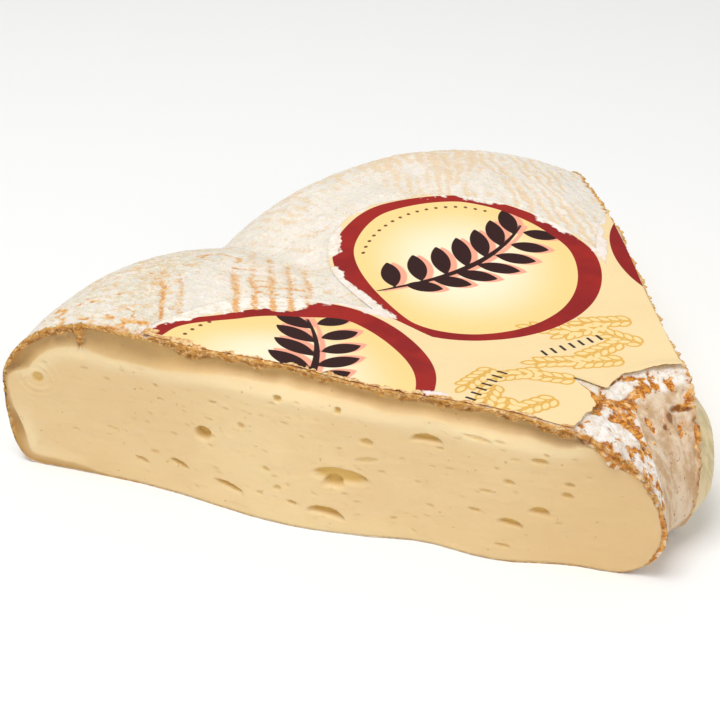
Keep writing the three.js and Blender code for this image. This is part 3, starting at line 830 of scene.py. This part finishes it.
def build_label():
    turn = np.linspace(0, 1, LABEL_SLICES + 1)[:, None]
    part = np.linspace(0, 1, LABEL_POINTS + 1)[None, :]
    azimuth, _ = plane(turn)
    inner, outer = label_edges(azimuth)
    ragged = 0.5 * layered(np.degrees(azimuth) / 3, 0 * turn, 0 * turn, 121)
    r = lerp(inner + 0.6 * ragged, outer + ragged, part)
    x, y = at(turn, r, inset=LABEL_INSET)
    lift = LABEL_LIFT + 0.14 * (1 + layered(x / 11, y / 11, 0 * x, 131)) * 0.5
    lifted = bell(part * (outer - inner), 2.2) * (0.25 + 0.6 * smooth(np.degrees(azimuth), 112, 100))
    to_cut = (1 - turn) * SPREAD * r
    heap = 1.6 * bell(r - LABEL_HEAP, 3.5)
    crusted = smooth(0.5 + heap + 1.3 * layered(x / 2.4, y / 2.4, 0 * x, 151) - to_cut, -0.2, 0.4)
    z = crown(x, y) + lift + lifted + 0.25 * crusted * layered(x, y, 0 * x, 152)
    upper = np.stack([x, y, z + LABEL_SHEET], -1)
    lower = np.stack([x, y, z], -1)

    slope = np.gradient(outer[:, 0], azimuth[:, 0])[:, None] / r
    from_rim = (outer - r) / np.hypot(1, slope)
    azimuths = np.degrees(azimuth + 0 * r)
    degrees = np.degrees(np.arctan2(y, x))
    hidden = 4.3 * smooth(azimuths, 143.5, 150.5) * smooth(160 - azimuths, -1, 5.5)
    layers = label_print(x, y, azimuths, 0.5 + hidden - from_rim)
    cover = layered(x / 5, y / 5, 0 * x, 141) + 0.5 * layered(x / 1.6, y / 1.6, 0 * x, 142)
    mould_width = 0.7
    for middle, spread, width in EDGE_MOULD:
        mould_width = mould_width + width * bell(degrees - middle, spread)
    mould = smooth(mould_width + 1.1 * hidden + 1.6 * cover - from_rim, -1.0, 1.4)
    thick_mould = 0.4 * bell(degrees - 138.5, 4) + 0.3 * bell(degrees - 107, 8) + 0.1 * hidden
    mould = mould * np.clip(0.66 + thick_mould + 0.4 * cover, 0, 1)
    clean = [smooth(hidden, 0.0, 0.4), bell(degrees - 107, 11), bell(degrees - 133, 7)]
    lines = (along_lobe(x, y) + 90) / LINE_SPACING
    worn = bell((lines - np.round(lines)) * 3.7, 0.95) * smooth(hidden, 0.4, 1.4)
    worn = worn * smooth(-x, 73, 75) * smooth(x, -93, -91) * smooth(cover + 0.6, -0.4, 0.3)
    torn_reach = 2.5 * bell(azimuths - 138.3, 3.0) + 0.4 * cover
    beside_tear = smooth(azimuths, 134, 135) * smooth(145 - azimuths)
    torn = smooth(inner + torn_reach - r, -0.2, 0.2) * beside_tear
    front_corner = smooth(3 - to_cut, 0, 1) * smooth(3 - outer + r, 0, 1)
    pink = bell(np.hypot((r - 54) / 5, to_cut / 2.6), 1) * smooth(cover, -0.8, 0.2)
    layers.update(
        mould=np.maximum(mould, pink), clean=np.maximum.reduce(clean), worn=worn, torn=torn,
        crust=np.maximum.reduce([crusted, torn, front_corner]),
    )
    attributes = {key: np.tile(value.ravel(), 2) for key, value in layers.items()}

    ids = np.arange(upper[..., 0].size).reshape(upper.shape[:2])
    up = grid_faces(ids)
    down = (up + ids.size)[:, ::-1]
    rim = np.concatenate([ids[0], ids[1:, -1], ids[-1, -2::-1], ids[-2:0:-1, 0]])
    following = np.roll(rim, -1)
    sides = np.stack([rim, rim + ids.size, following + ids.size, following], -1)
    points = np.stack([upper, lower]).reshape(-1, 3)
    quads = np.concatenate([up, down, sides])
    return make_mesh("label_sheet", points, quads, np.zeros((0, 3), int), attributes)


# Materials

def srgb(r, g, b):
    def one(value):
        value /= 255
        return value / 12.92 if value <= 0.04045 else ((value + 0.055) / 1.055) ** 2.4
    return one(r), one(g), one(b), 1.0


class Nodes:
    """Short ways to add shader nodes to one material."""

    def __init__(self, name):
        self.material = bpy.data.materials.new(name)
        self.material.use_nodes = True
        self.tree = self.material.node_tree
        self.tree.nodes.clear()
        surface = self.new("OutputMaterial").inputs["Surface"]
        self.shader = self.new("BsdfPrincipled")
        self.link(self.shader.outputs[0], surface)
        self.place = self.new("TexCoord").outputs["Object"]

    def new(self, kind):
        return self.tree.nodes.new("ShaderNode" + kind)

    def set(self, name, value):
        self.link(value, self.shader.inputs[name])

    def link(self, source, socket):
        """Sets or links an input. A colour of three numbers is sRGB, 0 to 255."""
        if isinstance(source, tuple) and len(source) == 3:
            source = srgb(*source)
        if isinstance(source, (int, float, tuple)):
            socket.default_value = source
        else:
            self.tree.links.new(source, socket)

    def attribute(self, name, split=False):
        node = self.new("Attribute")
        node.attribute_name = name
        if not split:
            return node.outputs["Fac"]
        parts = self.new("SeparateColor")
        self.link(node.outputs["Color"], parts.inputs[0])
        return *parts.outputs, node.outputs["Alpha"]

    def math(self, kind, a, b=0.0):
        node = self.new("Math")
        node.operation = kind
        self.link(a, node.inputs[0])
        self.link(b, node.inputs[1])
        return node.outputs[0]

    def add(self, a, b):
        return self.math("ADD", a, b)

    def minus(self, a, b):
        return self.math("SUBTRACT", a, b)

    def times(self, a, b):
        return self.math("MULTIPLY", a, b)

    def swing(self, value, size):
        """A value's swing to both sides of a half, scaled."""
        return self.times(self.minus(value, 0.5), size)

    def step(self, value, start, end, low=0.0, high=1.0):
        node = self.new("MapRange")
        node.interpolation_type = "SMOOTHSTEP"
        self.link(value, node.inputs["Value"])
        for socket, number in zip(node.inputs[1:5], (start, end, low, high)):
            socket.default_value = number
        return node.outputs["Result"]

    def noise(self, scale_mm, detail, stretch=(1, 1, 1)):
        mapping = self.new("Mapping")
        self.link(self.place, mapping.inputs["Vector"])
        mapping.inputs["Scale"].default_value = stretch
        node = self.new("TexNoise")
        self.link(mapping.outputs[0], node.inputs["Vector"])
        node.inputs["Scale"].default_value = 1000 / scale_mm
        node.inputs["Detail"].default_value = detail
        node.inputs["Roughness"].default_value = 0.6
        return node.outputs["Fac"]

    def mix(self, share, a, b):
        node = self.new("Mix")
        node.data_type = "RGBA"
        self.link(share, node.inputs[0])
        self.link(a, node.inputs[6])
        self.link(b, node.inputs[7])
        return node.outputs[2]

    def blend(self, value, start, end, low, high, share=1.0):
        """From one colour to a share of another as the value rises."""
        return self.mix(self.step(value, start, end, 0.0, share), low, high)

    def bump(self, height, distance_mm, strength):
        node = self.new("Bump")
        node.inputs["Distance"].default_value = distance_mm * MM
        node.inputs["Strength"].default_value = strength
        self.link(height, node.inputs["Height"])
        self.set("Normal", node.outputs[0])


def cheese_material():
    n = Nodes("bloomy_rind_and_paste")
    # On the rind these are mould, edge, wall and hole side; on the cut faces the first slot is the lip,
    # painted as a highlight.
    mould, edge, wall_mask, hole = n.attribute("masks_a", split=True)
    # On the rind: tan, painted shade and grey. On the cut faces: the cove's tan with painted shade under
    # the rind, painted shade between the rind's grains with the eyes, and painted shade on the front face.
    paste, cove, painted_shade_and_eyes, painted_shade_and_tint = n.attribute("masks_b", split=True)
    fine = n.noise(0.7, 3)
    small = n.noise(1.6, 4)
    middle = n.noise(6, 4)
    broad = n.noise(24, 3)

    white = n.blend(middle, 0.4, 0.75, (242, 233, 220), (230, 220, 203))
    white = n.blend(painted_shade_and_tint, 0.3, 0.9, white, (228, 222, 208), 0.65)
    flecks = n.step(n.add(fine, n.times(cove, 0.12)), 0.56, 0.72, 0.0, 0.5)
    white = n.mix(flecks, white, (214, 192, 160))
    tan_share = n.step(n.add(cove, n.swing(small, 1.2)), 0.1, 0.95)
    white = n.mix(n.times(tan_share, 0.85), white, (236, 208, 170))
    puffs = n.times(n.step(small, 0.56, 0.68), n.minus(1.0, n.times(cove, 0.6)))
    white = n.mix(n.times(puffs, 0.7), white, (247, 241, 231))
    amber = n.blend(small, 0.36, 0.62, (238, 192, 128), (212, 142, 66))
    deep_amber = n.blend(fine, 0.42, 0.6, (164, 88, 4), (224, 150, 52))
    amber = n.mix(n.times(hole, n.step(small, 0.38, 0.52)), amber, deep_amber)
    bare = n.minus(1.0, mould)
    bare = n.add(bare, n.swing(fine, 1.3))
    coarse = n.swing(n.noise(1.9, 3), 2.2)
    bare = n.add(bare, n.times(hole, coarse))
    white = n.mix(n.times(hole, 0.8), white, n.blend(small, 0.4, 0.6, (246, 240, 234), (228, 212, 194)))
    marks = n.swing(n.attribute("marks"), 0.16)
    dots = n.step(n.add(n.noise(1.5, 3), marks), 0.56, 0.64)
    white = n.mix(n.times(dots, 0.8), white, n.blend(middle, 0.42, 0.58, (232, 196, 144), (224, 204, 168)))
    dull = n.step(n.add(n.noise(2.3, 3), marks), 0.54, 0.66)
    white = n.mix(n.times(dull, 0.45), white, (214, 208, 186))
    rind = n.blend(bare, 0.2, 0.85, white, amber)
    smear = n.noise(2.2, 4, (1, 1, 0.12))
    wall_colour = n.blend(smear, 0.35, 0.65, (227, 204, 176), (196, 160, 120))
    wall_share = n.times(wall_mask, n.step(bare, 0.75, 0.45))
    rind = n.mix(wall_share, rind, wall_colour)
    near_bare = n.add(n.times(n.step(bare, 0.0, 0.5), 0.09), -0.05)
    specks = n.times(hole, n.step(n.add(n.noise(1.3, 2), near_bare), 0.62, 0.68))
    rind = n.mix(n.times(specks, 0.7), rind, (150, 98, 56))
    crust = n.blend(small, 0.38, 0.62, (230, 174, 94), (192, 128, 46))
    crust = n.blend(fine, 0.52, 0.64, crust, (246, 212, 158))
    speckled = n.blend(small, 0.42, 0.58, (240, 182, 104), (206, 132, 50))
    speckled = n.blend(n.noise(1.5, 2), 0.54, 0.62, speckled, (240, 214, 182))
    crust = n.mix(hole, crust, speckled)
    rind = n.mix(edge, rind, crust)
    # Painted shade: dark brown in the cracks and between the crumbs.
    rind = n.mix(n.times(painted_shade_and_eyes, 0.85), rind, (120, 64, 0))

    body = n.blend(broad, 0.35, 0.65, (238, 210, 158), (233, 202, 149))
    # Painted shade: the front face's paste darker towards the hole and at the left end.
    body = n.mix(n.times(painted_shade_and_tint, 0.8), body, (226, 190, 134))
    streaks = n.noise(2.0, 3, (1, 1, 0.06))
    back_pale = n.blend(streaks, 0.4, 0.62, (222, 201, 158), (199, 181, 134))
    back_colour = n.mix(painted_shade_and_tint, (234, 210, 162), back_pale)
    body = n.mix(hole, body, back_colour)
    grain = n.noise(3.0, 4, (0.5, 1.2, 2.2))
    body = n.blend(grain, 0.55, 0.75, body, (222, 190, 134), 0.4)
    # Painted highlight: on the cut faces this slot holds the lip, painted paler along it.
    body = n.mix(n.times(mould, 0.5), body, (250, 230, 184))
    # The cove under the rind: its own tan, deepening towards the rind's edge as painted shade.
    tan = n.mix(small, (220, 178, 106), (202, 156, 78))
    # Painted shade on the front face: the cove darker towards the hole and at the left end.
    tan = n.mix(painted_shade_and_tint, tan, (164, 122, 66))
    body = n.mix(cove, body, tan)
    body = n.mix(n.times(painted_shade_and_eyes, 0.8), body, (218, 174, 74))
    pinholes = n.step(n.noise(1.0, 1), 0.74, 0.78)
    body = n.mix(n.times(pinholes, 0.45), body, (196, 154, 84))
    colour = n.mix(paste, rind, body)
    n.set("Base Color", colour)

    rough = n.mix(paste, (0.85, 0.85, 0.85, 1), (0.5, 0.5, 0.5, 1))
    n.set("Roughness", n.add(rough, n.swing(middle, 0.15)))
    lumps = n.add(fine, n.times(small, 1.4))
    height = n.times(lumps, n.minus(1.0, n.times(paste, 0.9)))
    height = n.minus(height, n.times(n.times(pinholes, paste), 0.5))
    n.bump(height, 0.32, 0.9)
    n.set("Subsurface Weight", 0.25)
    n.shader.inputs["Subsurface Radius"].default_value = (0.004, 0.0025, 0.001)
    n.set("Subsurface Scale", 0.6)
    return n.material


def label_material():
    n = Nodes("printed_paper")
    fine = n.noise(0.5, 2)
    broad = n.noise(14, 3)
    paper = n.mix(broad, (246, 223, 174), (240, 211, 156))
    field = n.attribute("field")
    inner = n.blend(field, -18, -1, (252, 237, 204), (250, 214, 142))
    colour = n.blend(field, 0.08, -0.08, paper, inner)
    line = n.math("ABSOLUTE", n.attribute("line"))
    colour = n.blend(n.attribute("line"), 0.1, -0.5, colour, (250, 218, 140), 0.5)
    colour = n.blend(line, 0.32, 0.14, colour, (226, 176, 84))
    red = n.blend(broad, 0.4, 0.6, (160, 30, 22), (142, 22, 20))
    prints = (
        ("shade", 0.25, -0.15, (248, 168, 140)), ("ink", 0.08, -0.08, (46, 14, 10)),
        ("spots", 0.06, -0.06, (120, 80, 50)), ("tick", 0.06, -0.06, (58, 44, 38)),
        ("band", 0.08, -0.08, red),
    )
    for name, outside, inside, ink in prints:
        colour = n.mix(n.step(n.attribute(name), outside, inside), colour, ink)
    mould = n.add(n.attribute("mould"), n.swing(n.noise(1.2, 4), 0.9))
    cover = n.step(mould, 0.45, 0.75)
    mouldy = n.mix(fine, (248, 238, 234), (236, 214, 206))
    plain_mould = n.blend(n.noise(1.6, 3), 0.4, 0.62, (247, 240, 229), (231, 218, 197))
    mouldy = n.mix(n.attribute("clean"), mouldy, plain_mould)
    worn = n.add(n.attribute("worn"), n.swing(fine, 2.0))
    mouldy = n.blend(worn, 0.35, 0.95, mouldy, (228, 170, 104))
    colour = n.mix(cover, colour, mouldy)
    crust = n.add(n.attribute("crust"), n.swing(fine, 0.9))
    crumbs = n.blend(n.noise(0.8, 2), 0.42, 0.6, (206, 150, 88), (236, 204, 152))
    deep_crumbs = n.blend(n.noise(1.2, 3), 0.42, 0.58, (222, 156, 72), (172, 100, 24))
    crumbs = n.mix(n.attribute("torn"), crumbs, deep_crumbs)
    colour = n.blend(crust, 0.35, 0.65, colour, crumbs)
    n.set("Base Color", colour)
    n.set("Roughness", 0.7)
    n.set("Specular IOR Level", 0.3)
    n.bump(n.add(n.times(fine, 0.15), n.add(cover, crust)), 0.14, 0.7)
    return n.material


cheese = build_cheese()
cheese.data.materials.append(cheese_material())
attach(cheese, "root")
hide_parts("cheese")

label = build_label()
label.data.materials.append(label_material())
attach(label, "root")
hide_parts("label")


# Floor, light and camera

def area_light(name, place, target, size, power):
    data = bpy.data.lights.new(name, "AREA")
    data.size = size
    data.energy = power
    lamp = bpy.data.objects.new(name, data)
    lamp.location = place
    direction = np.array(target) - np.array(place)
    lamp.rotation_euler = Vector(direction).to_track_quat("-Z", "Y").to_euler()
    bpy.context.scene.collection.objects.link(lamp)


FLOOR_REACH = 4
floor_corners = [(x * FLOOR_REACH, y * FLOOR_REACH, 0) for x, y in ((-1, -1), (1, -1), (1, 1), (-1, 1))]
floor_mesh = bpy.data.meshes.new("floor")
floor_mesh.from_pydata(floor_corners, [], [(0, 1, 2, 3)])
floor = bpy.data.objects.new("floor", floor_mesh)
bpy.context.scene.collection.objects.link(floor)
floor_nodes = Nodes("pale_floor")
floor_nodes.set("Base Color", (247, 247, 246))
floor_nodes.set("Roughness", 0.9)
floor_mesh.materials.append(floor_nodes.material)

area_light("key", place=(-0.18, -0.2, 0.85), target=(0, 0, 0.01), size=0.5, power=5.0)
area_light("fill", place=(0.5, -0.5, 0.4), target=(0, 0, 0.02), size=0.6, power=0.9)

WORLD_STRENGTH = 0.5
world = bpy.data.worlds.new("studio")
world.use_nodes = True
background = world.node_tree.nodes["Background"]
background.inputs["Color"].default_value = (1, 1, 1, 1)
background.inputs["Strength"].default_value = WORLD_STRENGTH
bpy.context.scene.world = world
bpy.context.scene.view_settings.view_transform = "Standard"

CAMERA_PLACE = np.array([-64.14, -212.72, 185.84])
CAMERA_PITCH, CAMERA_LENS, CAMERA_SENSOR = 31.9755, 75, 36
camera_data = bpy.data.cameras.new("camera")
camera_data.lens = CAMERA_LENS
camera_data.sensor_width = CAMERA_SENSOR
camera = bpy.data.objects.new("camera", camera_data)
camera.location = (CAMERA_PLACE + AXIS) * MM
camera.rotation_euler = (math.radians(90 - CAMERA_PITCH), 0, 0)
bpy.context.scene.collection.objects.link(camera)
bpy.context.scene.camera = camera
